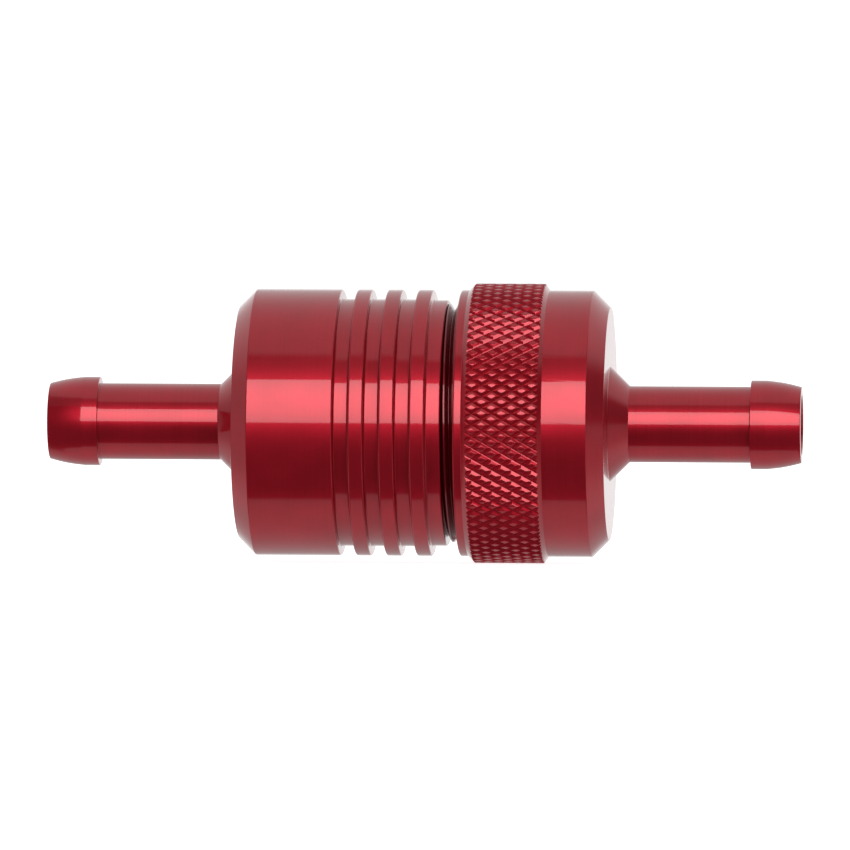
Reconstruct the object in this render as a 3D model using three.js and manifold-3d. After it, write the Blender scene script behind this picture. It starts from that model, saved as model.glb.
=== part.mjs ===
// An inline fuel filter for small engines, as a three.js scene. Millimetres, +Z up.
// The flow axis is X: the inlet is at -X and the outlet at +X, with the origin at mid-length.
// The outlet cap screws onto the inlet housing. A sprung filter element sits inside.

import * as THREE from "three";
import { mergeVertices } from "three/addons/utils/BufferGeometryUtils.js";
import Module from "manifold-3d";

const wasm = await Module();
wasm.setup();

// ---- Driving dimensions ----

// Body bar and its turned features.
const bodyRadius = 11.1;
const endChamfer = 1.4;
const plainLength = 7.12;
const finCount = 3;
const finWidth = 1.27;
const grooveWidth = 1.27;
const grooveDepth = 0.8;
const landStep = 0.85;
const landLength = 1.26;

// The cap's grip band.
const openGap = 1.06;
const lipLength = 0.69;
const knurlHeight = 0.55;
const knurlLeadLength = 0.55;
const knurlLength = 5.7;
const knurlTailLength = 0.42;
const capPlainLength = 3.66;

// Hose tails, alike at both ends.
const coneLength = 1.65;
const stemRadius = 3.175;
const stemLength = 10.1;
const barbRadius = 3.7;
const barbBandLength = 1.3;
const barbTaperLength = 2.9;
const barbTaperBulge = 0.08;
const tipRadius = 3.175;
const boreRadius = 2.35;
const mouthChamfer = 0.2;

// Screw thread between the housing and the cap.
const threadPitch = 0.75;
const threadStep = 0.3;
const threadDepth = 0.45;
const threadCrestWidth = 0.12;
const threadFlank = Math.tan(Math.PI / 6);
const threadStart = 0.11;
const threadRadialClearance = 0.08;
const threadFlankClearance = 0.05;
const spigotLength = 6.6;
const noseChamfer = 0.5;
const lipChamfer = 0.35;
const reliefLead = 0.2;
const closedGap = 0.06;

// Walls.
const endWall = 2.5;
const spigotWall = 1.5;
const seatStep = 0.2;

// Seals.
const oRingSection = 1.2;
const oRingWall = 0.15;
const gasketThickness = 0.8;
const seatClearance = 0.05;

// Filter element.
const flangeThickness = 1.3;
const flangeRecess = 0.7;
const flangeClearance = 0.4;
const flowGap = 2.4;
const endPlateThickness = 1.3;
const endPlateRecess = 0.6;
const endPlateRim = 0.55;
const endPlateBossHeight = 0.9;
const springLength = 8.13;
const meshThickness = 0.35;
const coreWall = 0.5;
const fitClearance = 0.05;
const holeRadius = 0.85;
const holeRows = 7;
const holesPerRow = 8;
const holeMargin = 1.2;

// Spring.
const wireRadius = 0.4;
const springTurns = 5.5;
const springEndTurns = 1;
const springSeatDepth = 0.7;
const springClearance = 0.25;

// Smoothness of round things.
const sides = 48;
const smallSides = 32;
const barbSteps = 4;
const oRingSteps = 10;
const holeSides = 10;
const wireSides = 8;
const springStepsPerTurn = 16;

// ---- Places along the axis, worked out from the lengths above ----

const finBlockLength = finCount * (finWidth + grooveWidth);
const tailLength = barbTaperLength + barbBandLength + stemLength + coneLength;
const housingBodyLength = endChamfer + plainLength + finBlockLength + landLength;
const gripLength = lipLength + knurlLeadLength + knurlLength + knurlTailLength;
const capBodyLength = gripLength + capPlainLength + endChamfer;
const overallLength = 2 * tailLength + housingBodyLength + openGap + capBodyLength;

const inletTipX = -overallLength / 2;
const inletFaceX = inletTipX + tailLength;
const shoulderX = inletFaceX + housingBodyLength;
const noseX = shoulderX + spigotLength;
const lipX = shoulderX + openGap;
const outletFaceX = lipX + capBodyLength;
const outletTipX = outletFaceX + tailLength;

const closeTravel = openGap - closedGap;
const housingFloorX = inletFaceX + endWall;
const capFloorX = outletFaceX - endWall;
const reliefX = noseX + reliefLead;
const oRingShoulderX = noseX + closeTravel + oRingSection + seatClearance;
const gasketX = capFloorX - seatClearance - gasketThickness;
const springSeatX = housingFloorX - springSeatDepth;
const elementX = springSeatX + springLength;

const grooveRadius = bodyRadius - grooveDepth;
const landRadius = bodyRadius - landStep;
const knurlRadius = bodyRadius + knurlHeight;
const threadRadius = landRadius - threadStep;
const threadRootRadius = threadRadius - threadDepth;
const chamberRadius = threadRootRadius - spigotWall;
const capThreadRadius = threadRadius + threadRadialClearance;
const capBoreRadius = threadRootRadius + threadRadialClearance;
const seatRadius = chamberRadius + seatStep;
const oRingRadius = capThreadRadius - oRingWall - oRingSection / 2;
const flangeRadius = seatRadius - flangeClearance;
const endPlateRadius = chamberRadius - flowGap;
const meshRadius = endPlateRadius - endPlateRim;
const coreRadius = meshRadius - meshThickness - fitClearance;
const elementBoreRadius = coreRadius - coreWall;
const springSeatRadius = meshRadius;
const springRadius = springSeatRadius - springClearance - wireRadius;

// ---- Shapes ----

// A ring or solid of revolution about X, from [x, radius] points that close on themselves.
// The lathe faces outwards when its outline runs anticlockwise.
function turned(points, around = sides) {
  const outline = points.map(([x, radius]) => new THREE.Vector2(radius, x));
  if (THREE.ShapeUtils.isClockWise(outline)) {
    outline.reverse();
  }
  outline.push(outline[0].clone());
  const geometry = new THREE.LatheGeometry(outline, around);
  geometry.rotateZ(-Math.PI / 2);
  return geometry;
}

// A plain tube about X.
function tube(fromX, toX, innerRadius, outerRadius, around = sides) {
  return turned([[fromX, innerRadius], [toX, innerRadius], [toX, outerRadius], [fromX, outerRadius]], around);
}

// A solid for manifold-3d, with its surface turned outwards.
function solid(geometry) {
  const bare = geometry.clone();
  bare.deleteAttribute("normal");
  bare.deleteAttribute("uv");
  const merged = mergeVertices(bare, 1e-5);
  const corners = Array.from(merged.index.array);
  const kept = [];
  for (let i = 0; i < corners.length; i += 3) {
    const [a, b, c] = corners.slice(i, i + 3);
    if (a !== b && b !== c && c !== a) {
      kept.push(a, b, c);
    }
  }
  if (signedVolume(merged.attributes.position, kept) < 0) {
    kept.reverse();
  }
  const mesh = new wasm.Mesh({
    numProp: 3,
    vertProperties: new Float32Array(merged.attributes.position.array),
    triVerts: new Uint32Array(kept),
  });
  return new wasm.Manifold(mesh);
}

// Six times the volume inside a triangle list, negative when it is inside out.
function signedVolume(position, corners) {
  const a = new THREE.Vector3();
  const b = new THREE.Vector3();
  const c = new THREE.Vector3();
  let sum = 0;
  for (let i = 0; i < corners.length; i += 3) {
    a.fromBufferAttribute(position, corners[i]);
    b.fromBufferAttribute(position, corners[i + 1]);
    c.fromBufferAttribute(position, corners[i + 2]);
    sum += a.dot(b.cross(c));
  }
  return sum;
}

// A manifold-3d solid back as a three.js geometry.
function geometryOf(shape) {
  const mesh = shape.getMesh();
  const geometry = new THREE.BufferGeometry();
  geometry.setAttribute("position", new THREE.BufferAttribute(new Float32Array(mesh.vertProperties), 3));
  geometry.setIndex(new THREE.BufferAttribute(new Uint32Array(mesh.triVerts), 1));
  geometry.computeVertexNormals();
  return geometry;
}

// A ridge that winds round X as a right-hand helix. The section is a closed list of
// [along, radius] points, carried from fromX to toX. The helix leaves the housing's
// shoulder threadStart of a turn past +Y.
function helicalRidge(section, fromX, toX) {
  const firstStep = Math.floor(((fromX - shoulderX) / threadPitch + threadStart) * sides);
  const steps = Math.ceil(((toX - fromX) / threadPitch) * sides);
  const positions = [];
  const corners = [];
  for (let i = 0; i <= steps; i++) {
    const turn = (firstStep + i) / sides;
    const angle = turn * 2 * Math.PI;
    const x = shoulderX + (turn - threadStart) * threadPitch;
    for (const [along, radius] of section) {
      positions.push(x + along, radius * Math.cos(angle), radius * Math.sin(angle));
    }
  }
  const width = section.length;
  for (let i = 0; i < steps; i++) {
    for (let j = 0; j < width; j++) {
      const a = i * width + j;
      const b = i * width + ((j + 1) % width);
      corners.push(a, b, b + width, a, b + width, a + width);
    }
  }
  const last = steps * width;
  for (let j = 1; j < width - 1; j++) {
    corners.push(0, j + 1, j, last, last + j, last + j + 1);
  }
  const geometry = new THREE.BufferGeometry();
  geometry.setAttribute("position", new THREE.Float32BufferAttribute(positions, 3));
  geometry.setIndex(corners);
  return geometry;
}

// Half the width of the male thread's ridge at a radius.
function ridgeHalfWidth(radius) {
  return threadCrestWidth / 2 + (threadRadius - radius) * threadFlank;
}

// The ridge's section: its crest, its flanks and a foot that sinks below rootRadius.
function ridgeSection(crestRadius, rootRadius, widen) {
  const crest = ridgeHalfWidth(crestRadius) + widen;
  const root = ridgeHalfWidth(rootRadius) + widen;
  const foot = rootRadius - threadDepth / 2;
  return [[-root, foot], [-root, rootRadius], [-crest, crestRadius], [crest, crestRadius], [root, rootRadius], [root, foot]];
}

// A hose tail's outline as [distance from the end face, radius], from the cone's foot to the tip.
// The taper from the barb's edge to the tip is slightly convex.
function tailOutline() {
  const stemStart = coneLength;
  const barbStart = stemStart + stemLength;
  const taperStart = barbStart + barbBandLength;
  const points = [[0, stemRadius + coneLength], [stemStart, stemRadius], [barbStart, stemRadius], [barbStart, barbRadius]];
  for (let i = 0; i <= barbSteps; i++) {
    const share = i / barbSteps;
    const bulge = barbTaperBulge * Math.sin(share * Math.PI);
    points.push([taperStart + share * barbTaperLength, THREE.MathUtils.lerp(barbRadius, tipRadius, share) + bulge]);
  }
  return points;
}

// ---- Pieces ----

// The housing: inlet tail, end wall, barrel, fins, land and threaded spigot, with its chamber.
function inletHousing() {
  const outline = [];
  for (const [distance, radius] of tailOutline().reverse()) {
    outline.push([inletFaceX - distance, radius]);
  }
  outline.push([inletFaceX, bodyRadius - endChamfer], [inletFaceX + endChamfer, bodyRadius]);
  let x = inletFaceX + endChamfer + plainLength;
  for (let fin = 0; fin < finCount; fin++) {
    outline.push([x, bodyRadius], [x, grooveRadius], [x + grooveWidth, grooveRadius], [x + grooveWidth, bodyRadius]);
    x += grooveWidth + finWidth;
  }
  outline.push([x, bodyRadius], [x, landRadius], [shoulderX, landRadius], [shoulderX, threadRootRadius]);
  outline.push([noseX, threadRootRadius], [noseX, chamberRadius], [housingFloorX, chamberRadius]);
  outline.push([housingFloorX, springSeatRadius], [springSeatX, springSeatRadius], [springSeatX, boreRadius]);
  outline.push([inletTipX + mouthChamfer, boreRadius], [inletTipX, boreRadius + mouthChamfer]);

  const ridgeFromX = shoulderX - threadPitch / 2;
  const ridge = helicalRidge(ridgeSection(threadRadius, threadRootRadius, 0), ridgeFromX, noseX + threadPitch / 2);
  const envelope = turned([
    [shoulderX, chamberRadius], [noseX, chamberRadius], [noseX, threadRadius - noseChamfer],
    [noseX - noseChamfer, capThreadRadius], [shoulderX, capThreadRadius],
  ]);
  return geometryOf(solid(turned(outline)).add(solid(ridge).intersect(solid(envelope))));
}

// The cap: lip, grip band, barrel, end wall and outlet tail, with the female thread,
// a relief at the thread's end, the O-ring's shoulder and the element's seat.
function outletCap() {
  const knurlStartX = lipX + lipLength + knurlLeadLength;
  const knurlEndX = knurlStartX + knurlLength;
  const outline = [[lipX, bodyRadius], [knurlStartX - knurlLeadLength, bodyRadius], [knurlStartX, knurlRadius]];
  outline.push([knurlEndX, knurlRadius], [knurlEndX + knurlTailLength, bodyRadius]);
  outline.push([outletFaceX - endChamfer, bodyRadius], [outletFaceX, bodyRadius - endChamfer]);
  for (const [distance, radius] of tailOutline()) {
    outline.push([outletFaceX + distance, radius]);
  }
  outline.push([outletTipX, boreRadius + mouthChamfer], [outletTipX - mouthChamfer, boreRadius]);
  outline.push([capFloorX, boreRadius], [capFloorX, seatRadius], [oRingShoulderX, seatRadius]);
  outline.push([oRingShoulderX, capThreadRadius], [reliefX, capThreadRadius], [reliefX, capBoreRadius]);
  outline.push([lipX + lipChamfer + threadDepth, capBoreRadius], [lipX, capThreadRadius + lipChamfer]);

  const groove = helicalRidge(
    ridgeSection(capThreadRadius, capBoreRadius, threadFlankClearance), lipX - threadPitch, reliefX + threadPitch / 2);
  return geometryOf(solid(turned(outline)).subtract(solid(groove)));
}

// The O-ring that the spigot's nose presses against the cap's shoulder.
function bodyORing() {
  const section = oRingSection / 2;
  const centreX = oRingShoulderX - seatClearance / 2 - section;
  const outline = [];
  for (let i = 0; i < oRingSteps; i++) {
    const angle = (i / oRingSteps) * 2 * Math.PI;
    outline.push([centreX + section * Math.cos(angle), oRingRadius + section * Math.sin(angle)]);
  }
  return turned(outline);
}

// The element's perforated tube, drilled right through in staggered rows.
function elementCore() {
  const startX = elementX + endPlateThickness - endPlateRecess;
  const endX = gasketX - flangeThickness + flangeRecess;
  const firstRowX = startX + endPlateRecess + holeMargin;
  const lastRowX = endX - flangeRecess - holeMargin;
  const drills = [];
  for (let row = 0; row < holeRows; row++) {
    for (let hole = 0; hole < holesPerRow / 2; hole++) {
      const drill = new THREE.CylinderGeometry(holeRadius, holeRadius, 2 * meshRadius, holeSides);
      drill.rotateX(((hole + (row % 2) / 2) / holesPerRow) * 2 * Math.PI);
      drill.translate(THREE.MathUtils.lerp(firstRowX, lastRowX, row / (holeRows - 1)), 0, 0);
      drills.push(solid(drill));
    }
  }
  const wall = solid(tube(startX, endX, elementBoreRadius, coreRadius, smallSides));
  return geometryOf(wall.subtract(wasm.Manifold.union(drills)));
}

// The woven sleeve round the core, between the end plate and the flange.
function elementMesh() {
  const startX = elementX + endPlateThickness - endPlateRecess;
  const endX = gasketX - flangeThickness + flangeRecess;
  return tube(startX, endX, meshRadius - meshThickness, meshRadius, smallSides);
}

// The plate that closes the element's inlet end. Its boss centres the spring.
function elementEndPlate() {
  const recessX = elementX + endPlateThickness - endPlateRecess;
  const bossRadius = springRadius - wireRadius - springClearance;
  return turned([
    [elementX - endPlateBossHeight, 0], [elementX - endPlateBossHeight, bossRadius],
    [elementX, bossRadius], [elementX, endPlateRadius],
    [elementX + endPlateThickness, endPlateRadius], [elementX + endPlateThickness, meshRadius + fitClearance],
    [recessX, meshRadius + fitClearance], [recessX, 0],
  ], smallSides);
}

// The ring at the element's open end. It holds the core and the mesh in a recess.
function elementFlange() {
  const startX = gasketX - flangeThickness;
  return turned([
    [startX, flangeRadius], [gasketX, flangeRadius], [gasketX, elementBoreRadius],
    [startX + flangeRecess, elementBoreRadius], [startX + flangeRecess, meshRadius + fitClearance],
    [startX, meshRadius + fitClearance],
  ]);
}

// The flat washer between the flange and the cap's end wall.
function elementGasket() {
  return tube(gasketX, gasketX + gasketThickness, elementBoreRadius, flangeRadius);
}

// The spring's centre line: close coils at both ends and open ones between.
class SpringLine extends THREE.Curve {
  getPoint(t, target = new THREE.Vector3()) {
    const startX = springSeatX + wireRadius + seatClearance;
    const openX = elementX - wireRadius - seatClearance - startX - 2 * springEndTurns * 2 * wireRadius;
    const turn = t * springTurns;
    const openTurns = springTurns - 2 * springEndTurns;
    const opened = THREE.MathUtils.clamp((turn - springEndTurns) / openTurns, 0, 1);
    const closed = turn - opened * openTurns;
    const angle = turn * 2 * Math.PI;
    const x = startX + closed * 2 * wireRadius + opened * openX;
    return target.set(x, springRadius * Math.cos(angle), springRadius * Math.sin(angle));
  }
}

// The compression spring that holds the element on its seat.
function spring() {
  const section = new THREE.Shape();
  section.absarc(0, 0, wireRadius, 0, 2 * Math.PI);
  return new THREE.ExtrudeGeometry(section, {
    steps: springTurns * springStepsPerTurn,
    curveSegments: wireSides / 2,
    bevelEnabled: false,
    extrudePath: new SpringLine(),
  });
}

// ---- Materials ----

const redAnodised = new THREE.MeshStandardMaterial({ color: 0x9e1c26, roughness: 0.3, metalness: 0.9 });
const stainless = new THREE.MeshStandardMaterial({ color: 0xb9bbbd, roughness: 0.35, metalness: 1 });
const wovenStainless = new THREE.MeshStandardMaterial({ color: 0x9a9c9e, roughness: 0.6, metalness: 0.9 });
const springSteel = new THREE.MeshStandardMaterial({ color: 0xa7a9ab, roughness: 0.3, metalness: 1 });
const nitrile = new THREE.MeshStandardMaterial({ color: 0x17181a, roughness: 0.7, metalness: 0 });

// ---- Assembly ----

const filter = new THREE.Group();

function place(name, geometry, material) {
  const piece = new THREE.Mesh(geometry, material);
  piece.name = name;
  filter.add(piece);
}

place("inlet_housing", inletHousing(), redAnodised);
place("outlet_cap", outletCap(), redAnodised);
place("body_o_ring", bodyORing(), nitrile);
place("element_core", elementCore(), stainless);
place("element_mesh", elementMesh(), wovenStainless);
place("element_end_plate", elementEndPlate(), stainless);
place("element_flange", elementFlange(), stainless);
place("element_gasket", elementGasket(), nitrile);
place("spring", spring(), springSteel);

export default filter;
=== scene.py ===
import math

import bmesh
import bpy
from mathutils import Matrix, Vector


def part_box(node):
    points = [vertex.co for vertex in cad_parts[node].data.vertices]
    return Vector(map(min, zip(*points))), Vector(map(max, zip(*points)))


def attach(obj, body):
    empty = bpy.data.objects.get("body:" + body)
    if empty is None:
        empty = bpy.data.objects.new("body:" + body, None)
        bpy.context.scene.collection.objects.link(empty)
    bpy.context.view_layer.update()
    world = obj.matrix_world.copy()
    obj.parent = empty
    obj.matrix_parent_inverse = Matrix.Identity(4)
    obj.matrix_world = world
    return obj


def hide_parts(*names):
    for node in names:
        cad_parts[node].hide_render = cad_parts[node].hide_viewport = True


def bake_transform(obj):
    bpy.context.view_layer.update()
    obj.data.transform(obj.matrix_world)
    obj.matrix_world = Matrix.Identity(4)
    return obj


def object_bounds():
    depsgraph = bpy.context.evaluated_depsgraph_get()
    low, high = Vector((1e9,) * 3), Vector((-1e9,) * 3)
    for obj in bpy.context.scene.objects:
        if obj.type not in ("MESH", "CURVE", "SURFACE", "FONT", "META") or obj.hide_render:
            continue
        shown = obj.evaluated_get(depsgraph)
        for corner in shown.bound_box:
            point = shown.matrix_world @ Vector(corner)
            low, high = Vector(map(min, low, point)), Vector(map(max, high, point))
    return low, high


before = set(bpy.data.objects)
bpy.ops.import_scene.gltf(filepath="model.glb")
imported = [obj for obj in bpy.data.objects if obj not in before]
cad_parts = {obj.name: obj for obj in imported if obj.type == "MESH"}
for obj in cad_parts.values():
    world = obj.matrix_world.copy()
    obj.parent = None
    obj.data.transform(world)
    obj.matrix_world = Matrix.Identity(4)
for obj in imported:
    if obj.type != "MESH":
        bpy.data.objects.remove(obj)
cad_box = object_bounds()

# ---------------------------------------------------------------------------
# Camera. A long lens a metre away, almost level, a few degrees round
# towards the outlet so that its end face and bore just show.
# ---------------------------------------------------------------------------

mm = 0.001
camera_distance = 1.0
camera_azimuth = math.radians(4.4)
camera_elevation = math.radians(0.8)
camera_roll = math.radians(0.28)
view_width = 70.84 * mm
sensor_width = 36
look_at = Vector((-0.04 * mm, 0, -0.175 * mm))

direction = Vector((
    math.sin(camera_azimuth) * math.cos(camera_elevation),
    -math.cos(camera_azimuth) * math.cos(camera_elevation),
    math.sin(camera_elevation),
))
camera_data = bpy.data.cameras.new("studio_camera")
camera_data.sensor_width = sensor_width
camera_data.lens = sensor_width * camera_distance / view_width
camera_data.clip_start = 0.05
camera_data.clip_end = 50
camera = bpy.data.objects.new("studio_camera", camera_data)
camera.location = look_at + direction * camera_distance
facing = (look_at - camera.location).to_track_quat("-Z", "Y").to_matrix().to_4x4()
camera.rotation_euler = facing.to_euler()
camera.rotation_euler.rotate_axis("Z", camera_roll)
bpy.context.scene.collection.objects.link(camera)
bpy.context.scene.camera = camera
bpy.context.scene.view_settings.view_transform = "Standard"

# ---------------------------------------------------------------------------
# Studio. A wide pale floor, one soft box in front, and a pale room that is
# dark in front from below the filter to well above it.
# ---------------------------------------------------------------------------

floor_size = 8.0
floor_gap = 0.02 * mm
floor_glow = 0.85
floor_z = cad_box[0][2] - floor_gap

bpy.ops.object.select_all(action="DESELECT")
bpy.ops.mesh.primitive_plane_add(size=floor_size, location=(0, 0, floor_z))
floor = bpy.context.object
floor.name = "studio_floor"
floor.visible_glossy = False

floor_paint = bpy.data.materials.new("studio_floor_paint")
floor_paint.use_nodes = True
paint = floor_paint.node_tree.nodes["Principled BSDF"]
paint.inputs["Base Color"].default_value = (0.9, 0.9, 0.9, 1)
paint.inputs["Roughness"].default_value = 0.9
paint.inputs["Emission Color"].default_value = (1, 1, 1, 1)
paint.inputs["Emission Strength"].default_value = floor_glow
floor.data.materials.append(floor_paint)


def step(tree, value, edge, soft):
    """A number that goes from 0 to 1 as value passes edge, over a width of soft."""
    ramp = tree.nodes.new("ShaderNodeMapRange")
    ramp.interpolation_type = "SMOOTHSTEP"
    ramp.inputs["From Min"].default_value = edge - soft / 2
    ramp.inputs["From Max"].default_value = edge + soft / 2
    tree.links.new(value, ramp.inputs["Value"])
    return ramp.outputs["Result"]


def blend_light(tree, share, low, high):
    """Low where share is 0 and high where it is 1. Each is a number or a socket."""
    mix = tree.nodes.new("ShaderNodeMix")
    tree.links.new(share, mix.inputs["Factor"])
    for socket, value in ((mix.inputs["A"], low), (mix.inputs["B"], high)):
        if isinstance(value, (int, float)):
            socket.default_value = value
        else:
            tree.links.new(value, socket)
    return mix.outputs["Result"]


def sine(degrees):
    """How high a direction at this elevation reaches, with straight up as 1."""
    return math.sin(math.radians(degrees))


def maths(tree, operation, first, second):
    """A sum on two values, each a number or a socket."""
    node = tree.nodes.new("ShaderNodeMath")
    node.operation = operation
    for socket, value in zip(node.inputs, (first, second)):
        if isinstance(value, (int, float)):
            socket.default_value = value
        else:
            tree.links.new(value, socket)
    return node.outputs["Value"]


room = bpy.data.worlds.new("studio_room")
bpy.context.scene.world = room
room.use_nodes = True
sky = room.node_tree
place = sky.nodes.new("ShaderNodeTexCoord")
axes = sky.nodes.new("ShaderNodeSeparateXYZ")
sky.links.new(place.outputs["Generated"], axes.inputs["Vector"])
height = axes.outputs["Z"]
back = axes.outputs["Y"]
across = axes.outputs["X"]
off_level = maths(sky, "ABSOLUTE", height, 0.0)
off_centre = maths(sky, "ABSOLUTE", across, 0.0)

# Each edge in the room's light is where it lies and how softly the light changes there.
# In front, from straight below to straight above: the pale floor, the dark, the wall and the ceiling.
floor_light = 0.53
dark_light = 0.05
wall_light = 0.18
ceiling_light = 0.66
floor_edge = (sine(-69), 0.03)
wall_edge = (sine(39), 0.02)
ceiling_edge = (sine(61), 0.06)
front = blend_light(sky, step(sky, height, *floor_edge), floor_light, dark_light)
front = blend_light(sky, step(sky, height, *wall_edge), front, wall_light)
front = blend_light(sky, step(sky, height, *ceiling_edge), front, ceiling_light)

# Behind, a white band near level between a greyer floor and the ceiling.
rear_floor_light = 0.48
rear_band_light = 1.0
rear_middle = (0.0, 0.8)
rear_band_edge = (sine(15), 0.3)
rear = blend_light(sky, step(sky, height, *rear_middle), rear_floor_light, ceiling_light)
rear = blend_light(sky, step(sky, off_level, *rear_band_edge), rear_band_light, rear)

# Off to the sides it is greyer near level, and darker still just above level on the right.
side_low_light = 0.4
side_high_light = 0.75
right_dark_light = 0.1
side_edge = (0.42, 0.3)
right_dark_low = (0.0, 0.1)
right_dark_high = (sine(26), 0.12)
right_edge = (0.0, 0.2)
side = blend_light(sky, step(sky, off_level, *side_edge), side_low_light, side_high_light)
right = blend_light(sky, step(sky, height, *right_dark_low), side, right_dark_light)
right = blend_light(sky, step(sky, height, *right_dark_high), right, side)
side = blend_light(sky, step(sky, across, *right_edge), side, right)

rear_starts = (0.12, 0.3)
sides_start = (0.75, 0.3)
whole = blend_light(sky, step(sky, back, *rear_starts), front, rear)
whole = blend_light(sky, step(sky, off_centre, *sides_start), whole, side)

background = sky.nodes["Background"]
background.inputs["Color"].default_value = (1, 1, 1, 1)
sky.links.new(whole, background.inputs["Strength"])

# What the camera sees behind the filter is plain white.
white_light = 1.05
seen = sky.nodes.new("ShaderNodeLightPath")
plain_white = sky.nodes.new("ShaderNodeBackground")
plain_white.inputs["Color"].default_value = (1, 1, 1, 1)
plain_white.inputs["Strength"].default_value = white_light
choice = sky.nodes.new("ShaderNodeMixShader")
sky.links.new(seen.outputs["Is Camera Ray"], choice.inputs["Fac"])
sky.links.new(background.outputs["Background"], choice.inputs[1])
sky.links.new(plain_white.outputs["Background"], choice.inputs[2])
sky.links.new(choice.outputs["Shader"], sky.nodes["World Output"].inputs["Surface"])

# The soft box stands well behind the camera. As the filter sees it, it reaches from
# level up to 38 degrees, and from a little to the left round to the right. It is a
# little brighter at one edge than at the other.
box_distance = 1.6
box_low = box_distance * math.tan(math.radians(0.3))
box_high = box_distance * math.tan(math.radians(37.7))
box_left = box_distance * math.tan(math.radians(-17))
box_right = box_distance * math.tan(math.radians(42))
box_light = 3.3
box_fade = (0.9, 1.1)
box_data = bpy.data.lights.new("soft_box", "AREA")
box_data.shape = "RECTANGLE"
box_data.size = box_right - box_left
box_data.size_y = box_high - box_low
box_data.energy = box_light * math.pi * box_data.size * box_data.size_y
box_data.use_nodes = True
glow = box_data.node_tree
box_place = glow.nodes.new("ShaderNodeNewGeometry")
box_axes = glow.nodes.new("ShaderNodeSeparateXYZ")
fade = glow.nodes.new("ShaderNodeMapRange")
fade.inputs["To Min"].default_value = box_fade[0]
fade.inputs["To Max"].default_value = box_fade[1]
glow.links.new(box_place.outputs["Parametric"], box_axes.inputs["Vector"])
glow.links.new(box_axes.outputs["Y"], fade.inputs["Value"])
glow.links.new(fade.outputs["Result"], glow.nodes["Emission"].inputs["Strength"])
soft_box = bpy.data.objects.new("soft_box", box_data)
soft_box.location = ((box_left + box_right) / 2, -box_distance, (box_low + box_high) / 2)
soft_box.rotation_euler = (math.radians(90), 0, 0)
bpy.context.scene.collection.objects.link(soft_box)

# ---------------------------------------------------------------------------
# Red anodised finish, shared by both turned halves: dyed oxide over
# aluminium, with fine tool marks that run round the axis and a faint grain.
# ---------------------------------------------------------------------------

relief_depth = 0.02 * mm
# Painted shade: within this reach along X and inside this radius the red is darkened to the deepest colour
# below, for the shade in the threads and inside.
shade_reach = 12.5 * mm
shade_radius = 10.1 * mm
painted_shade_red = (0.19, 0.002, 0.008)
dark_dye = (0.37, 0.003, 0.013)
light_dye = (0.49, 0.005, 0.021)


def rings(tree, where):
    """The distances along X and from X, together and one by one, for patterns that run round the axis."""
    split = tree.nodes.new("ShaderNodeSeparateXYZ")
    tree.links.new(where.outputs["Object"], split.inputs["Vector"])
    y_squared = maths(tree, "MULTIPLY", split.outputs["Y"], split.outputs["Y"])
    z_squared = maths(tree, "MULTIPLY", split.outputs["Z"], split.outputs["Z"])
    radius = maths(tree, "SQRT", maths(tree, "ADD", y_squared, z_squared), 0.0)
    ring = tree.nodes.new("ShaderNodeCombineXYZ")
    tree.links.new(split.outputs["X"], ring.inputs["X"])
    tree.links.new(radius, ring.inputs["Y"])
    return ring.outputs["Vector"], split.outputs["X"], radius


def noise(tree, vector, scale, detail):
    """An uneven pattern from 0 to 1, with this many lumps to the metre."""
    texture = tree.nodes.new("ShaderNodeTexNoise")
    texture.inputs["Scale"].default_value = scale
    texture.inputs["Detail"].default_value = detail
    tree.links.new(vector, texture.inputs["Vector"])
    return texture.outputs["Fac"]


def relieve(tree, skin, height, strength):
    """Raises the skin by a height pattern of up to relief_depth."""
    bump = tree.nodes.new("ShaderNodeBump")
    bump.inputs["Strength"].default_value = strength
    bump.inputs["Distance"].default_value = relief_depth
    tree.links.new(height, bump.inputs["Height"])
    tree.links.new(bump.outputs["Normal"], skin.inputs["Normal"])


def vary(tree, factor, low, high, socket):
    """Lets a number on the skin vary with a pattern, from low to high."""
    scaled = tree.nodes.new("ShaderNodeMapRange")
    scaled.inputs["To Min"].default_value = low
    scaled.inputs["To Max"].default_value = high
    tree.links.new(factor, scaled.inputs["Value"])
    tree.links.new(scaled.outputs["Result"], socket)


def tint(tree, factor, stops, skin):
    """Colours the skin along a ramp of (place, colour) stops."""
    ramp = tree.nodes.new("ShaderNodeValToRGB")
    while len(ramp.color_ramp.elements) < len(stops):
        ramp.color_ramp.elements.new(1.0)
    for element, (position, colour) in zip(ramp.color_ramp.elements, stops):
        element.position = position
        element.color = (*colour, 1)
    tree.links.new(factor, ramp.inputs["Fac"])
    tree.links.new(ramp.outputs["Color"], skin.inputs["Base Color"])


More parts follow.
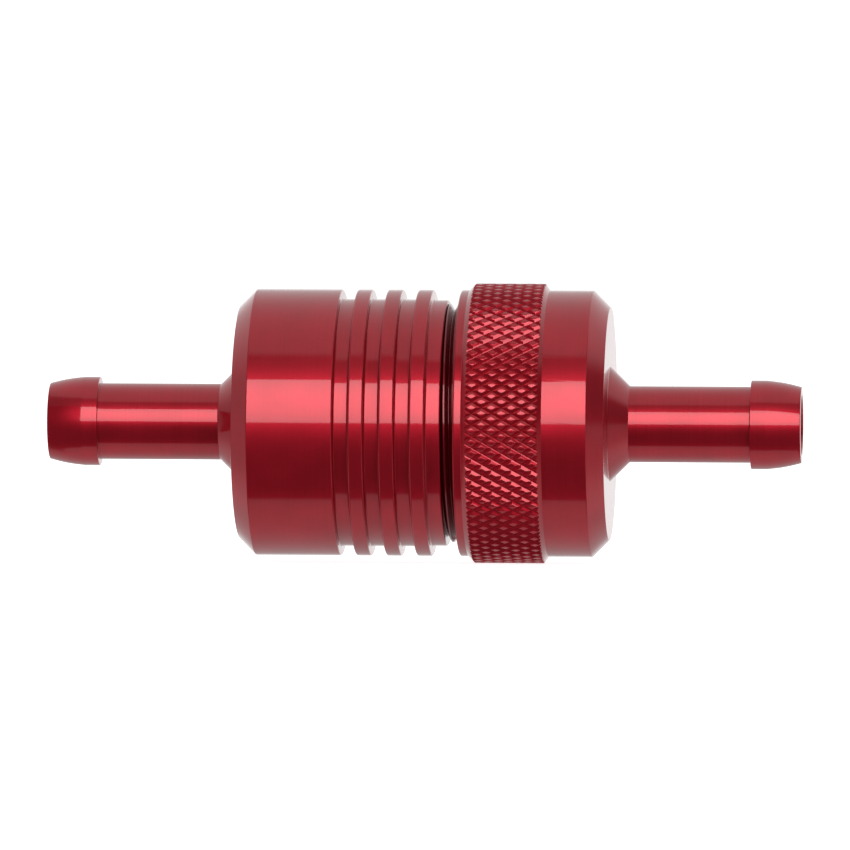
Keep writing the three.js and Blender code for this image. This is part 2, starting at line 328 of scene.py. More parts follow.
def red_anodise():
    """Fine rings round the X axis, a soft grain, a slightly uneven dye and painted shade on the threads
    and inside.
    """
    rings_per_metre = 9000
    grains_per_metre = 12000
    patches_per_metre = 350
    grain_share = 0.5
    patch_share = 0.55
    relief = 0.16
    burnished = 0.31
    dull = 0.41
    material = bpy.data.materials.new("red_anodise")
    material.use_nodes = True
    tree = material.node_tree
    skin = tree.nodes["Principled BSDF"]
    skin.inputs["Metallic"].default_value = 0.82
    skin.inputs["Coat Weight"].default_value = 1.0
    skin.inputs["Coat Roughness"].default_value = 0.06
    skin.inputs["Coat IOR"].default_value = 1.5

    where = tree.nodes.new("ShaderNodeTexCoord")
    ring, along, radius = rings(tree, where)
    tool_marks = noise(tree, ring, rings_per_metre, 3)
    grain = noise(tree, where.outputs["Object"], grains_per_metre, 2)
    bumps = maths(tree, "ADD", tool_marks, maths(tree, "MULTIPLY", grain, grain_share))
    relieve(tree, skin, bumps, relief)
    patches = noise(tree, where.outputs["Object"], patches_per_metre, 4)
    patches = maths(tree, "MULTIPLY", patches, patch_share)
    streaks = maths(tree, "MULTIPLY", tool_marks, 1 - patch_share)
    dye_and_shade = maths(tree, "ADD", patches, streaks)

    # Painted shade: on the threads and the inside surfaces the red is taken down to the deepest colour,
    # standing in for the shade in these recesses.
    within_body = maths(tree, "LESS_THAN", maths(tree, "ABSOLUTE", along, 0.0), shade_reach)
    below_skin = maths(tree, "LESS_THAN", radius, shade_radius)
    unshaded = maths(tree, "SUBTRACT", 1.0, maths(tree, "MULTIPLY", within_body, below_skin))
    dye_and_shade = maths(tree, "MULTIPLY", dye_and_shade, unshaded)
    tint(tree, dye_and_shade, ((0.1, painted_shade_red), (0.3, dark_dye), (0.7, light_dye)), skin)
    vary(tree, tool_marks, burnished, dull, skin.inputs["Roughness"])
    return material


anodise = red_anodise()

# ---------------------------------------------------------------------------
# Inlet housing. One aluminium turning: a barbed hose tail, a cone, a barrel
# with three fins, a smaller land and a spigot with a fine thread cut on it.
# ---------------------------------------------------------------------------


def turn(name, outline, around, edge_break):
    """Draws the outline of [x, radius] points, rounds its corners and spins it about X."""
    bpy.ops.object.select_all(action="DESELECT")
    start = outline[0]
    bpy.ops.mesh.primitive_plane_add(size=mm, location=(start[0], 0, start[1]))
    piece = bpy.context.object
    piece.name = name
    bpy.ops.object.mode_set(mode="EDIT")
    bpy.ops.mesh.merge(type="CENTER")
    x, radius = start
    for next_x, next_radius in outline[1:] + [start]:
        reach = (next_x - x, 0, next_radius - radius)
        bpy.ops.mesh.extrude_region_move(TRANSFORM_OT_translate={"value": reach})
        x, radius = next_x, next_radius
    bpy.ops.mesh.select_all(action="SELECT")
    bpy.ops.mesh.remove_doubles(threshold=0.001 * mm)
    if edge_break:
        bpy.ops.mesh.bevel(offset=edge_break, offset_type="OFFSET", segments=2, affect="VERTICES")
    bpy.ops.mesh.select_all(action="SELECT")
    bpy.ops.mesh.spin(steps=around, angle=2 * math.pi, center=(0, 0, 0), axis=(1, 0, 0))
    bpy.ops.mesh.select_all(action="SELECT")
    bpy.ops.mesh.remove_doubles(threshold=0.0005 * mm)
    bpy.ops.mesh.normals_make_consistent(inside=False)
    bpy.ops.object.mode_set(mode="OBJECT")
    settle(piece)
    return piece


def smooth(piece, degrees):
    """Smooth shading between edges sharper than this, with the wide faces keeping their own normals.
    In metres the faces are too small for the weighting, so it is done at 1000 times the size."""
    piece.scale = (1 / mm, 1 / mm, 1 / mm)
    settle(piece)
    bpy.ops.object.shade_smooth_by_angle(angle=math.radians(degrees))
    even = piece.modifiers.new("even", "WEIGHTED_NORMAL")
    even.keep_sharp = True
    bpy.ops.object.modifier_apply(modifier=even.name)
    piece.scale = (mm, mm, mm)
    settle(piece)


def settle(piece):
    """Puts a finished piece's origin at the frame's, with its place in its mesh."""
    bpy.ops.object.select_all(action="DESELECT")
    piece.select_set(True)
    bpy.context.view_layer.objects.active = piece
    bpy.ops.object.transform_apply(location=True, rotation=True, scale=True)


def combine(piece, tool, operation):
    """Joins the tool to the piece, cuts it away or keeps what they share, and uses the tool up."""
    bpy.ops.object.select_all(action="DESELECT")
    bpy.context.view_layer.objects.active = piece
    piece.select_set(True)
    cut = piece.modifiers.new("cut", "BOOLEAN")
    cut.operation = operation
    cut.solver = "EXACT"
    cut.object = tool
    bpy.ops.object.modifier_apply(modifier=cut.name)
    bpy.data.objects.remove(tool, do_unlink=True)
    bpy.ops.object.mode_set(mode="EDIT")
    bpy.ops.mesh.select_all(action="SELECT")
    bpy.ops.mesh.remove_doubles(threshold=0.0003 * mm)
    bpy.ops.object.mode_set(mode="OBJECT")


def wind_ridge(name, crest, foot, crest_width, foot_width, from_x, turns):
    """A thread's ridge: a small trapezoid wound round X as a right-hand screw."""
    bpy.ops.object.select_all(action="DESELECT")
    bpy.ops.mesh.primitive_plane_add(size=1, location=(from_x, 0, 0), rotation=(math.radians(90), 0, 0))
    ridge = bpy.context.object
    ridge.name = name
    settle(ridge)
    shape = ((foot, foot_width), (crest, crest_width))
    corners = sorted(ridge.data.vertices, key=lambda corner: corner.co.z)
    for level, (radius, width) in enumerate(shape):
        pair = sorted(corners[level * 2:level * 2 + 2], key=lambda corner: corner.co.x)
        pair[0].co = (from_x - width / 2, 0, radius)
        pair[1].co = (from_x + width / 2, 0, radius)
    bpy.ops.object.mode_set(mode="EDIT")
    bpy.ops.mesh.select_all(action="SELECT")
    bpy.ops.mesh.delete(type="ONLY_FACE")
    bpy.ops.object.mode_set(mode="OBJECT")
    winding = ridge.modifiers.new("winding", "SCREW")
    winding.axis = "X"
    winding.angle = 2 * math.pi * turns
    winding.screw_offset = thread_pitch * turns
    winding.steps = int(thread_steps * turns)
    winding.render_steps = int(thread_steps * turns)
    winding.use_merge_vertices = False
    bpy.ops.object.modifier_apply(modifier=winding.name)
    bpy.ops.object.mode_set(mode="EDIT")
    bpy.ops.mesh.select_all(action="SELECT")
    bpy.ops.mesh.fill_holes(sides=4)
    bpy.ops.mesh.select_all(action="SELECT")
    bpy.ops.mesh.normals_make_consistent(inside=False)
    bpy.ops.object.mode_set(mode="OBJECT")
    return ridge


def hose_tail(face_x, outward):
    """A hose tail's outline from the cone's foot to the tip. The barb's taper is slightly convex."""
    points = [(0, stem_radius + cone_length), (cone_length, stem_radius)]
    barb_start = cone_length + stem_length
    points += [(barb_start, stem_radius), (barb_start, barb_radius)]
    taper_start = barb_start + barb_band
    for i in range(barb_steps + 1):
        share = i / barb_steps
        bulge = barb_bulge * math.sin(share * math.pi)
        straight = barb_radius + (tip_radius - barb_radius) * share
        points.append((taper_start + share * barb_taper, straight + bulge))
    return [(face_x + outward * along, radius) for along, radius in points]


def finish_piece(piece, material, node, body):
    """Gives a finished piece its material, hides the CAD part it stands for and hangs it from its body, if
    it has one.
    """
    piece.data.materials.clear()
    piece.data.materials.append(material)
    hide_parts(node)
    if body:
        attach(piece, body)


housing_low, housing_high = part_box("inlet_housing")
inlet_tip_x = housing_low.x
spigot_nose_x = housing_high.x

cone_length = 1.65 * mm
stem_radius = 3.175 * mm
stem_length = 10.1 * mm
barb_radius = 3.7 * mm
barb_band = 1.3 * mm
barb_taper = 2.9 * mm
barb_bulge = 0.08 * mm
barb_steps = 8
tip_radius = 3.175 * mm
bore_radius = 2.35 * mm
mouth_chamfer = 0.2 * mm

body_radius = 11.1 * mm
end_chamfer = 1.4 * mm
barrel_length = 7.12 * mm
fins = 3
fin_width = 1.27 * mm
fin_groove = 10.3 * mm
fin_break = 0.1 * mm
land_radius = 10.25 * mm
land_length = 1.26 * mm

thread_pitch = 0.75 * mm
thread_start = 0.11
quarter = 0.25
thread_steps = 96
thread_crest = 9.95 * mm
thread_flank = math.tan(math.radians(30))
spigot_radius = 9.42 * mm
nose_chamfer = 0.5 * mm
chamber_radius = 8.0 * mm
end_wall = 2.5 * mm
spring_seat_radius = 5.05 * mm
spring_seat_depth = 0.7 * mm
edge_break = 0.06 * mm
facets = 192
round_under = 25

inlet_face_x = inlet_tip_x + barb_taper + barb_band + stem_length + cone_length
outline = [(x, radius) for x, radius in reversed(hose_tail(inlet_face_x, -1))]
outline += [(inlet_face_x, body_radius - end_chamfer), (inlet_face_x + end_chamfer, body_radius)]
x = inlet_face_x + end_chamfer + barrel_length
for fin in range(fins):
    outline += [(x - fin_break, body_radius), (x, body_radius - fin_break)]
    outline += [(x, fin_groove + fin_break), (x + fin_break, fin_groove)]
    x += fin_width
    outline += [(x - fin_break, fin_groove), (x, fin_groove + fin_break)]
    outline += [(x, body_radius - fin_break), (x + fin_break, body_radius)]
    x += fin_width
shoulder_x = x + land_length
outline += [(x - fin_break, body_radius), (x, body_radius - fin_break)]
outline += [(x, land_radius + fin_break), (x + fin_break, land_radius)]
outline += [(shoulder_x - fin_break, land_radius), (shoulder_x, land_radius - fin_break)]
outline += [(shoulder_x, spigot_radius)]
outline += [(spigot_nose_x, spigot_radius), (spigot_nose_x, chamber_radius)]
floor_x = inlet_face_x + end_wall
seat_x = floor_x - spring_seat_depth
outline += [(floor_x, chamber_radius), (floor_x, spring_seat_radius), (seat_x, spring_seat_radius)]
outline += [(seat_x, bore_radius), (inlet_tip_x + mouth_chamfer, bore_radius)]
outline += [(inlet_tip_x, bore_radius + mouth_chamfer)]
housing = turn("inlet_housing_turned", outline, facets, edge_break)

quarter_turn_x = shoulder_x + (quarter - thread_start - 1) * thread_pitch
turns = math.ceil((spigot_nose_x - quarter_turn_x) / thread_pitch) + 1
crest_width = 0.12 * mm
male_foot = spigot_radius - 0.01 * mm
foot_width = crest_width + 2 * (thread_crest - male_foot) * thread_flank
male_ridge = wind_ridge(
    "male_thread", thread_crest, male_foot, crest_width, foot_width, quarter_turn_x, turns)

# Only the thread between the shoulder and the chamfered nose is kept.
keep_from_x = shoulder_x - 0.3 * mm
keep_to_x = spigot_nose_x - 0.01 * mm
keep_inner = chamber_radius + 0.4 * mm
keep_outer = thread_crest + 0.1 * mm
outline = [(keep_from_x, keep_inner), (keep_to_x, keep_inner), (keep_to_x, thread_crest - nose_chamfer)]
outline += [(spigot_nose_x - nose_chamfer, keep_outer), (keep_from_x, keep_outer)]
keep = turn("thread_envelope", outline, facets, 0)
combine(male_ridge, keep, "INTERSECT")
combine(housing, male_ridge, "UNION")
smooth(housing, round_under)
finish_piece(housing, anodise, "inlet_housing", "housing")

# ---------------------------------------------------------------------------
# Outlet cap. The other aluminium turning: a lip, a knurled band to grip, a
# barrel, a cone and a barbed hose tail, with a female thread cut inside.
# The knurl is rolled: one tooth's strip is cut, repeated and bent into a ring.
# ---------------------------------------------------------------------------

cap_low, cap_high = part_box("outlet_cap")
lip_x = cap_low.x
outlet_tip_x = cap_high.x

lip_length = 0.69 * mm
knurl_lead = 0.55 * mm
knurl_length = 5.7 * mm
knurl_tail = 0.42 * mm
cap_barrel = 3.66 * mm
lip_chamfer = 0.35 * mm
lip_run = lip_chamfer + 0.45 * mm
cap_thread_radius = 10.03 * mm
cap_bore_radius = 9.58 * mm
flank_clearance = 0.05 * mm
groove_foot_drop = 0.05 * mm
seat_radius = 8.2 * mm
relief_x = spigot_nose_x + 0.2 * mm
relief_radius = cap_thread_radius + 0.02 * mm
o_ring_shoulder_x = spigot_nose_x + 2.25 * mm

knurl_start_x = lip_x + lip_length
knurl_end_x = knurl_start_x + knurl_lead + knurl_length + knurl_tail
outlet_face_x = knurl_end_x + cap_barrel + end_chamfer
cap_floor_x = outlet_face_x - end_wall

outline = [(lip_x, body_radius - fin_break), (lip_x + fin_break, body_radius)]
outline += [(outlet_face_x - end_chamfer, body_radius)]
outline += [(outlet_face_x, body_radius - end_chamfer)]
outline += hose_tail(outlet_face_x, 1)
outline += [(outlet_tip_x, bore_radius + mouth_chamfer), (outlet_tip_x - mouth_chamfer, bore_radius)]
outline += [(cap_floor_x, bore_radius), (cap_floor_x, seat_radius), (o_ring_shoulder_x, seat_radius)]
outline += [(o_ring_shoulder_x, relief_radius), (relief_x, relief_radius), (relief_x, cap_bore_radius)]
outline += [(lip_x + lip_run, cap_bore_radius), (lip_x, cap_thread_radius + lip_chamfer)]
cap = turn("outlet_cap_turned", outline, facets, edge_break)


def select_where(piece, test):
    """Selects the vertices of a piece in edit mode whose places pass the test, and what they bound."""
    shape = bmesh.from_edit_mesh(piece.data)
    for vertex in shape.verts:
        vertex.select = test(vertex.co)
    shape.select_flush_mode()
    shape.select_flush(True)
    bmesh.update_edit_mesh(piece.data)


def repeat(piece, count, along):
    """Repeats a piece in a row and joins each copy to the next."""
    row = piece.modifiers.new("row", "ARRAY")
    row.count = count
    row.use_relative_offset = False
    row.use_constant_offset = True
    row.constant_offset_displace = along
    row.use_merge_vertices = True
    row.merge_threshold = 0.002 * mm
    bpy.ops.object.modifier_apply(modifier=row.name)


def roll_up(piece, radius):
    """Rolls a flat sheet that faces the front into a closed ring about X."""
    roll = piece.modifiers.new("roll", "SIMPLE_DEFORM")
    roll.deform_method = "BEND"
    roll.deform_axis = "X"
    roll.angle = 2 * math.pi
    bpy.ops.object.modifier_apply(modifier=roll.name)
    piece.location = (0, -radius, 0)
    settle(piece)
    bpy.ops.object.mode_set(mode="EDIT")
    bpy.ops.mesh.select_all(action="SELECT")
    bpy.ops.mesh.remove_doubles(threshold=0.003 * mm)
    bpy.ops.object.mode_set(mode="OBJECT")


teeth = 76
tooth_long = 1.65 * mm
knurl_crest = 11.65 * mm
grid_cells = 8
# From a groove's bottom up one flank to the crowned top: how far in, and how far up.
tooth_steps = ((0.065, 0.033), (0.14, 0.13), (0.035, 0.015), (0.08, 0.012))
valley = knurl_crest - sum(up for inward, up in tooth_steps) * mm
tooth_round = 2 * math.pi * valley / teeth
root_two = math.sqrt(2)

bpy.ops.object.select_all(action="DESELECT")
bpy.ops.mesh.primitive_grid_add(x_subdivisions=grid_cells, y_subdivisions=grid_cells, size=grid_cells * mm)
knurl = bpy.context.object
knurl.name = "knurled_band"
knurl.rotation_euler = (0, 0, math.radians(45))
settle(knurl)
knurl.scale = (tooth_long / (root_two * mm), tooth_round / (root_two * mm), 1)
settle(knurl)
knurl.rotation_euler = (math.radians(90), 0, 0)
knurl.location = ((knurl_start_x + knurl_lead + knurl_end_x - knurl_tail) / 2, 0, 0)
settle(knurl)

# Each diamond stands up from the V grooves round it, with a slightly crowned top.
bpy.ops.object.mode_set(mode="EDIT")
bpy.ops.mesh.select_all(action="SELECT")
for inward, up in tooth_steps:
    bpy.ops.mesh.inset(thickness=inward * mm, depth=up * mm, use_individual=True)
for side in (-1, 1):
    bpy.ops.mesh.select_all(action="SELECT")
    bpy.ops.mesh.bisect(
        plane_co=(0, 0, side * tooth_round / 2), plane_no=(0, 0, side), clear_outer=True, threshold=1e-8)

# A chamfer cuts across the diamonds at each end and runs down into the barrel.
rise = knurl_crest - body_radius
sink = 0.2 * mm
for start_x, run, side in ((knurl_start_x, knurl_lead, -1), (knurl_end_x, knurl_tail, 1)):
    foot = Vector((start_x, valley - body_radius, 0))
    slope = Vector((side * rise, -run, 0)).normalized()
    bpy.ops.mesh.select_all(action="SELECT")
    bpy.ops.mesh.bisect(plane_co=foot, plane_no=slope, clear_outer=True, threshold=1e-8)
    select_where(knurl, lambda place: abs((place - foot).dot(slope)) < 0.0005 * mm)
    deep = foot + Vector((side * run / rise, 1, 0)) * sink
    bpy.ops.mesh.extrude_region_move()
    bpy.ops.transform.resize(value=(0, 0, 1), center_override=deep)
bpy.ops.object.mode_set(mode="OBJECT")

knurl.location = (0, 0, -(teeth - 1) / 2 * tooth_round)
settle(knurl)
repeat(knurl, teeth, (0, 0, tooth_round))
roll_up(knurl, valley)
bpy.ops.object.mode_set(mode="EDIT")
bpy.ops.mesh.select_all(action="DESELECT")
bpy.ops.mesh.select_non_manifold()
bpy.ops.mesh.bridge_edge_loops()
bpy.ops.mesh.select_all(action="SELECT")
bpy.ops.mesh.normals_make_consistent(inside=False)
bpy.ops.object.mode_set(mode="OBJECT")
combine(cap, knurl, "UNION")

crest_clearance = cap_thread_radius - thread_crest
groove_crest_width = crest_width + 2 * flank_clearance - 2 * crest_clearance * thread_flank
groove_height = cap_thread_radius - cap_bore_radius + groove_foot_drop
groove_foot_width = groove_crest_width + 2 * groove_height * thread_flank
groove_from_x = shoulder_x + (quarter - thread_start) * thread_pitch
groove_turns = math.ceil((relief_x + thread_pitch / 2 - groove_from_x) / thread_pitch)
female_groove = wind_ridge(
    "female_thread", cap_thread_radius, cap_thread_radius - groove_height,
    groove_crest_width, groove_foot_width, groove_from_x, groove_turns)
combine(cap, female_groove, "DIFFERENCE")
smooth(cap, round_under)
finish_piece(cap, anodise, "outlet_cap", "cap")

# ---------------------------------------------------------------------------
# Body O-ring. A moulded nitrile ring that seals the screwed joint, with the
# thin flash line its mould leaves inside and out. It sits against the cap's shoulder.
# ---------------------------------------------------------------------------


def metal(name, light, dark, roughness, mark_scale):
    """Bare metal with fine marks round the axis and slightly uneven brightness."""
    patches_per_metre = 600
    relief = 0.3
    roughness_spread = 0.07
    material = bpy.data.materials.new(name)
    material.use_nodes = True
    tree = material.node_tree
    skin = tree.nodes["Principled BSDF"]
    skin.inputs["Metallic"].default_value = 1.0
    where = tree.nodes.new("ShaderNodeTexCoord")
    marks = noise(tree, rings(tree, where)[0], mark_scale, 4)
    haze = noise(tree, where.outputs["Object"], patches_per_metre, 4)
    relieve(tree, skin, marks, relief)
    tint(tree, haze, ((0.3, dark), (0.7, light)), skin)
    smoothest = roughness - roughness_spread
    vary(tree, marks, smoothest, roughness + roughness_spread, skin.inputs["Roughness"])
    return material


def nitrile_rubber():
    """Near-black rubber with a fine moulded grain and a faint bloom."""
    grains_per_metre = 15000
    patches_per_metre = 900
    relief = 0.35
    smoothest = 0.42
    roughest = 0.6
    black = (0.010, 0.010, 0.011)
    bloomed = (0.028, 0.028, 0.030)
    material = bpy.data.materials.new("nitrile_rubber")
    material.use_nodes = True
    tree = material.node_tree
    skin = tree.nodes["Principled BSDF"]
    skin.inputs["Specular IOR Level"].default_value = 0.45
    where = tree.nodes.new("ShaderNodeTexCoord")
    grain = noise(tree, where.outputs["Object"], grains_per_metre, 3)
    bloom = noise(tree, where.outputs["Object"], patches_per_metre, 4)
    relieve(tree, skin, grain, relief)
    tint(tree, bloom, ((0.35, black), (0.75, bloomed)), skin)
    vary(tree, grain, smoothest, roughest, skin.inputs["Roughness"])
    return material


nitrile = nitrile_rubber()
o_ring_low, o_ring_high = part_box("body_o_ring")
o_ring_x = (o_ring_low.x + o_ring_high.x) / 2
o_ring_section = (o_ring_high.x - o_ring_low.x) / 2
o_ring_radius = o_ring_high.z - o_ring_section
flash_height = 0.02 * mm
section_points = 24
ring_facets = 144

outline = []
for i in range(section_points):
    angle = i / section_points * 2 * math.pi
    reach = o_ring_section - flash_height
    if i % (section_points // 2) == section_points // 4:
        reach = o_ring_section
    outline.append((o_ring_x + reach * math.cos(angle), o_ring_radius + reach * math.sin(angle)))
o_ring = turn("body_o_ring_moulded", outline, ring_facets, 0)
smooth(o_ring, 40)
finish_piece(o_ring, nitrile, "body_o_ring", "cap")

# ---------------------------------------------------------------------------
# Element core. A stainless tube drilled with staggered rows of holes. It
# carries the woven sleeve and stands in recesses in the end plate and flange.
# ---------------------------------------------------------------------------

stainless = metal("turned_stainless", (0.62, 0.61, 0.60), (0.47, 0.46, 0.46), 0.3, 8000)
core_low, core_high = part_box("element_core")
core_radius = 4.65 * mm
core_bore = 4.15 * mm
hole_radius = 0.85 * mm
hole_rows = 7
holes_per_row = 8
first_row_x = core_low.x + 1.8 * mm
last_row_x = core_high.x - 1.9 * mm
drill_length = 1.5 * mm
drill_sides = 24
inner_break = 0.04 * mm
inner_facets = 96

outline = [(core_low.x, core_bore), (core_low.x, core_radius)]
outline += [(core_high.x, core_radius), (core_high.x, core_bore)]
core = turn("element_core_drilled", outline, inner_facets, inner_break)

bpy.ops.object.select_all(action="DESELECT")
bpy.ops.mesh.primitive_cylinder_add(vertices=drill_sides, radius=hole_radius, depth=drill_length)
drill = bpy.context.object
drill.name = "core_drill"
bpy.ops.object.mode_set(mode="EDIT")
bpy.ops.mesh.select_all(action="SELECT")
bpy.ops.transform.translate(value=(0, 0, (core_radius + core_bore) / 2))
bpy.ops.object.mode_set(mode="OBJECT")
drills = []
for row in range(hole_rows):
    for hole in range(holes_per_row):
        turned_drill = drill.copy()
        turned_drill.data = drill.data.copy()
        turned_drill.location.x = first_row_x + (last_row_x - first_row_x) * row / (hole_rows - 1)
        turned_drill.rotation_euler.x = 2 * math.pi * (hole + row % 2 / 2) / holes_per_row
        bpy.context.scene.collection.objects.link(turned_drill)
        drills.append(turned_drill)
bpy.data.objects.remove(drill, do_unlink=True)
bpy.ops.object.select_all(action="DESELECT")
for turned_drill in drills:
    turned_drill.select_set(True)
bpy.context.view_layer.objects.active = drills[0]
bpy.ops.object.join()
settle(drills[0])
combine(core, drills[0], "DIFFERENCE")
smooth(core, round_under)
finish_piece(core, stainless, "element_core", "element")

# ---------------------------------------------------------------------------
# Element mesh. A sleeve of stainless wire cloth round the core, in plain weave.
# Two wires each way are woven once, repeated as a sheet and rolled into the sleeve.
# ---------------------------------------------------------------------------

cloth_metal = metal("drawn_stainless_wire", (0.66, 0.65, 0.63), (0.44, 0.43, 0.42), 0.34, 14000)
mesh_low, mesh_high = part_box("element_mesh")
cloth_thickness = 0.35 * mm
cloth_radius = mesh_high.z - cloth_thickness / 2
cloth_wire = 0.08 * mm
cloth_rise = 0.085 * mm
end_gap = 0.05 * mm
cells_long = 16
cells_round = 30
cell_long = (mesh_high.x - mesh_low.x - 2 * end_gap) / cells_long
cell_round = 2 * math.pi * cloth_radius / cells_round
wave_steps = 8
wire_sides = 5


def woven_wire(name, along, across, start, length, phase):
    """One wire of the cloth over a full wave: a small loop pushed along in steps, over and under."""
    bpy.ops.object.select_all(action="DESELECT")
    bpy.ops.mesh.primitive_circle_add(
        vertices=wire_sides, radius=cloth_wire, location=start,
        rotation=Vector((0, 0, 1)).rotation_difference(along).to_euler())
    wire = bpy.context.object
    wire.name = name
    settle(wire)
    bpy.ops.object.mode_set(mode="EDIT")
    bpy.ops.mesh.select_all(action="SELECT")
    bpy.ops.transform.translate(value=across * cloth_rise * math.cos(phase))
    for wave in range(wave_steps):
        before = math.cos(phase + wave / wave_steps * 2 * math.pi)
        after = math.cos(phase + (wave + 1) / wave_steps * 2 * math.pi)
        push = along * length / wave_steps + across * cloth_rise * (after - before)
        bpy.ops.mesh.extrude_region_move(TRANSFORM_OT_translate={"value": push})
    bpy.ops.object.mode_set(mode="OBJECT")
    return wire


out = Vector((0, -1, 0))
along_x = Vector((1, 0, 0))
along_z = Vector((0, 0, 1))
wires = []
for strand in (0, 1):
    start = Vector((mesh_low.x + end_gap, 0, (strand - 0.5) * cell_round / 2))
    wires.append(woven_wire("warp_wire", along_x, out, start, cell_long, (strand - 0.5) * math.pi))
    start = Vector((mesh_low.x + end_gap + (strand + 0.5) * cell_long / 2, 0, -cell_round / 2))
    wires.append(woven_wire("weft_wire", along_z, out, start, cell_round, (strand + 0.5) * math.pi))
bpy.ops.object.select_all(action="DESELECT")
for wire in wires:
    wire.select_set(True)
cloth = wires[0]
bpy.context.view_layer.objects.active = cloth
bpy.ops.object.join()
cloth.name = "element_mesh_woven"

repeat(cloth, cells_long, (cell_long, 0, 0))
repeat(cloth, cells_round, (0, 0, cell_round))
cloth.location = (0, 0, -(cells_round - 1) / 2 * cell_round)
settle(cloth)
roll_up(cloth, cloth_radius)
bpy.ops.object.mode_set(mode="EDIT")
bpy.ops.mesh.select_all(action="SELECT")
bpy.ops.mesh.fill_holes(sides=wire_sides)
bpy.ops.mesh.select_all(action="SELECT")
bpy.ops.mesh.normals_make_consistent(inside=False)
bpy.ops.object.mode_set(mode="OBJECT")
bpy.ops.object.shade_smooth_by_angle(angle=math.radians(80))
finish_piece(cloth, cloth_metal, "element_mesh", "element")

# ---------------------------------------------------------------------------
# Element end plate. A turned stainless plate that closes the element's inlet
# end. The spring sits round its boss, and it has the lathe's small centre mark.
# ---------------------------------------------------------------------------

plate_low, plate_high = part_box("element_end_plate")
boss_height = 0.9 * mm
boss_radius = 3.75 * mm
plate_radius = 5.6 * mm
plate_recess = 0.6 * mm
recess_radius = 5.1 * mm
centre_mark = 0.3 * mm

plate_face_x = plate_low.x + boss_height
recess_x = plate_high.x - plate_recess
outline = [(plate_low.x, centre_mark), (plate_low.x, boss_radius), (plate_face_x, boss_radius)]
outline += [(plate_face_x, plate_radius), (plate_high.x, plate_radius), (plate_high.x, recess_radius)]
outline += [(recess_x, recess_radius), (recess_x, centre_mark)]
plate = turn("element_end_plate_turned", outline, inner_facets, inner_break)
bpy.ops.object.mode_set(mode="EDIT")
bpy.ops.mesh.select_mode(type="VERT")
select_where(plate, lambda place: math.hypot(place.y, place.z) < centre_mark + 0.002 * mm)
bpy.ops.mesh.delete(type="ONLY_FACE")
bpy.ops.mesh.select_all(action="SELECT")
bpy.ops.mesh.fill_holes(sides=inner_facets)
bpy.ops.mesh.select_all(action="SELECT")
bpy.ops.mesh.normals_make_consistent(inside=False)
bpy.ops.object.mode_set(mode="OBJECT")
smooth(plate, round_under)
finish_piece(plate, stainless, "element_end_plate", "element")

# ---------------------------------------------------------------------------
# Element flange. A turned stainless ring at the element's open end. Its recess
# holds the core and the sleeve, and its face presses on the gasket.
# ---------------------------------------------------------------------------

flange_low, flange_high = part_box("element_flange")
flange_radius = 7.8 * mm
flange_recess = 0.7 * mm

outline = [(flange_low.x, flange_radius), (flange_high.x, flange_radius), (flange_high.x, core_bore)]
outline += [(flange_low.x + flange_recess, core_bore), (flange_low.x + flange_recess, recess_radius)]
outline += [(flange_low.x, recess_radius)]
flange = turn("element_flange_turned", outline, ring_facets, inner_break)
smooth(flange, round_under)
finish_piece(flange, stainless, "element_flange", "element")

# ---------------------------------------------------------------------------
# Element gasket. A flat nitrile washer between the flange and the cap's end
# wall, punched from sheet. A shallow bead on the cap's side makes the seal.
# ---------------------------------------------------------------------------

gasket_low, gasket_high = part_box("element_gasket")
bead_height = 0.08 * mm
bead_radius = 6.0 * mm
bead_half = 0.25 * mm

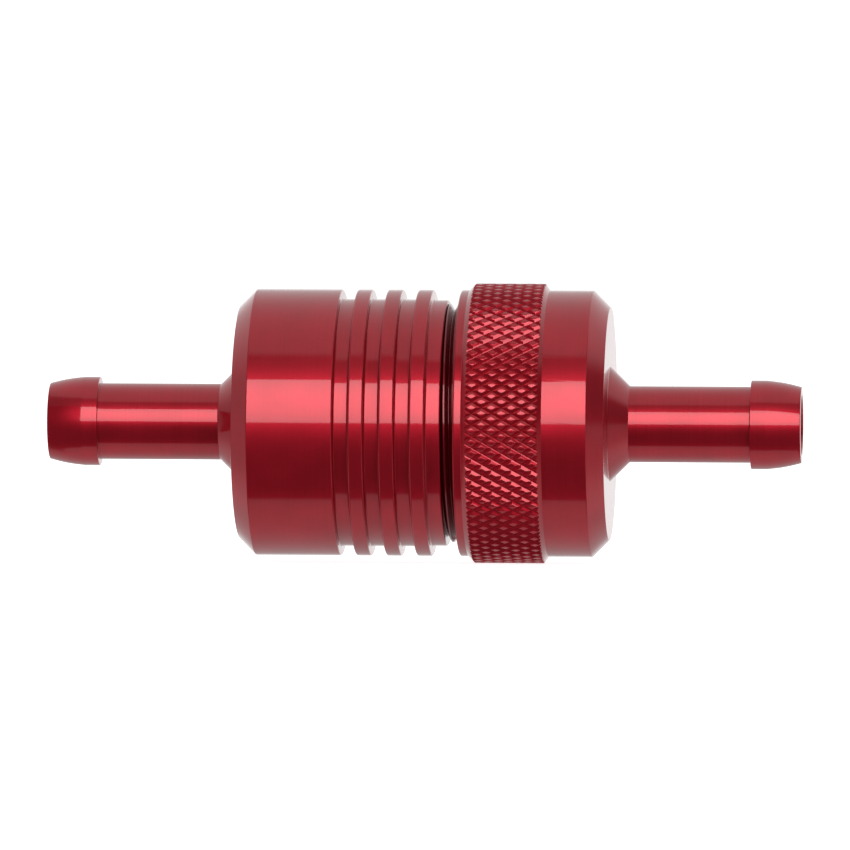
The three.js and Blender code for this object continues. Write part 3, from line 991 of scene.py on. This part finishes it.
gasket_face_x = gasket_high.x - bead_height
outline = [(gasket_low.x, core_bore), (gasket_low.x, flange_radius), (gasket_face_x, flange_radius)]
outline += [(gasket_face_x, bead_radius + bead_half), (gasket_high.x, bead_radius + bead_half / 2)]
outline += [(gasket_high.x, bead_radius - bead_half / 2), (gasket_face_x, bead_radius - bead_half)]
outline += [(gasket_face_x, core_bore)]
gasket = turn("element_gasket_punched", outline, ring_facets, inner_break)
smooth(gasket, round_under)
finish_piece(gasket, nitrile, "element_gasket", "element")

# ---------------------------------------------------------------------------
# Spring. Cold-drawn steel wire wound into a compression spring with closed
# ends. It stands in the housing's seat and pushes the element against the cap.
# ---------------------------------------------------------------------------

spring_metal = metal("spring_steel_wire", (0.52, 0.51, 0.50), (0.33, 0.32, 0.31), 0.32, 12000)
spring_low, spring_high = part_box("spring")
spring_wire = 0.4 * mm
coil_radius = 4.4 * mm
coil_turns = 5.5
closed_turns = 1
points_per_turn = 40

coil_start_x = spring_low.x + spring_wire
open_turns = coil_turns - 2 * closed_turns
open_length = spring_high.x - spring_wire - coil_start_x - 2 * closed_turns * 2 * spring_wire
coil = bpy.data.curves.new("spring_coil", "CURVE")
coil.dimensions = "3D"
coil.bevel_depth = spring_wire
coil.bevel_resolution = 4
coil.use_fill_caps = True
line = coil.splines.new("POLY")
coil_points = round(coil_turns * points_per_turn)
line.points.add(coil_points)
for i in range(coil_points + 1):
    turn_so_far = i / points_per_turn
    opened = min(max((turn_so_far - closed_turns) / open_turns, 0), 1)
    closed = turn_so_far - opened * open_turns
    along = coil_start_x + closed * 2 * spring_wire + opened * open_length
    angle = turn_so_far * 2 * math.pi
    line.points[i].co = (along, coil_radius * math.cos(angle), coil_radius * math.sin(angle), 1)
spring = bpy.data.objects.new("spring_wound", coil)
bpy.context.scene.collection.objects.link(spring)
bpy.ops.object.select_all(action="DESELECT")
spring.select_set(True)
bpy.context.view_layer.objects.active = spring
bpy.ops.object.convert(target="MESH")
spring = bpy.context.object
bpy.ops.object.mode_set(mode="EDIT")
bpy.ops.mesh.select_all(action="SELECT")
bpy.ops.mesh.remove_doubles(threshold=0.002 * mm)
bpy.ops.mesh.normals_make_consistent(inside=False)
bpy.ops.object.mode_set(mode="OBJECT")
bpy.ops.object.shade_smooth_by_angle(angle=math.radians(50))
finish_piece(spring, spring_metal, "spring", None)
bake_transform(spring)
